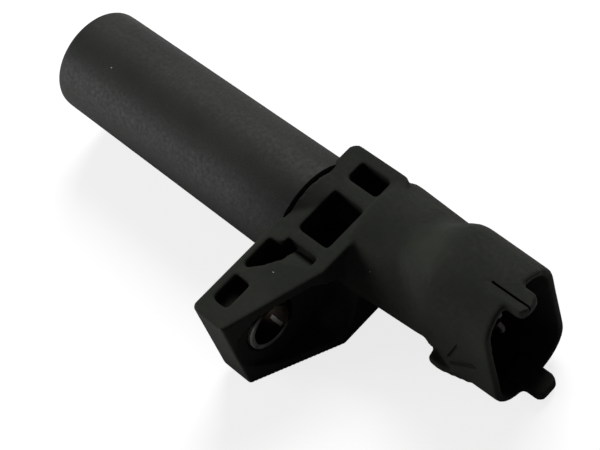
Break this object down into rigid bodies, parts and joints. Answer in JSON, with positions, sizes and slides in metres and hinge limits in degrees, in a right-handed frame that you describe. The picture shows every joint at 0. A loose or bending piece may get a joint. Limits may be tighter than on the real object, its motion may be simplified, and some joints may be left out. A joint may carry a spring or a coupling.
{
  "type": "crankshaft position sensor",
  "caption": "Crankshaft position sensor with a round sensing barrel, a cored bolt flange holding a split steel bushing, and a tall plug hood with a latch tongue and a key tab.",
  "frame": {"origin": "centre of the sensing face, on the barrel's axis", "axes": "+X along the barrel from the sensing face to the plug, -Y towards the flange's bolt lobe, +Z out of the flange's cored side"},
  "size_m": [0.0926, 0.0367, 0.0266],
  "materials": {
    "barrel_plastic": "black glass-filled nylon, satin",
    "body_plastic": "black glass-filled nylon, satin with a fine moulded grain",
    "bushing_steel": "zinc plated, rolled",
    "core_iron": "bare soft iron, turned",
    "magnet": "sintered, dull grey",
    "inner_nylon": "natural nylon",
    "copper_wire": "enamelled copper wire",
    "tape": "amber film tape",
    "terminal_metal": "tin plated"
  },
  "bodies": {
    "root": {"barrel_cup": "barrel_plastic", "body_moulding": "body_plastic", "compression_bushing": "bushing_steel", "pole_core": "core_iron", "yoke_disc": "core_iron", "bias_magnet": "magnet", "coil_bobbin": "inner_nylon", "terminal_carrier": "inner_nylon", "coil_winding": "copper_wire", "upper_coil_lead": "copper_wire", "lower_coil_lead": "copper_wire", "winding_tape": "tape", "upper_terminal": "terminal_metal", "middle_terminal": "terminal_metal", "lower_terminal": "terminal_metal"}
  },
  "joints": []
}
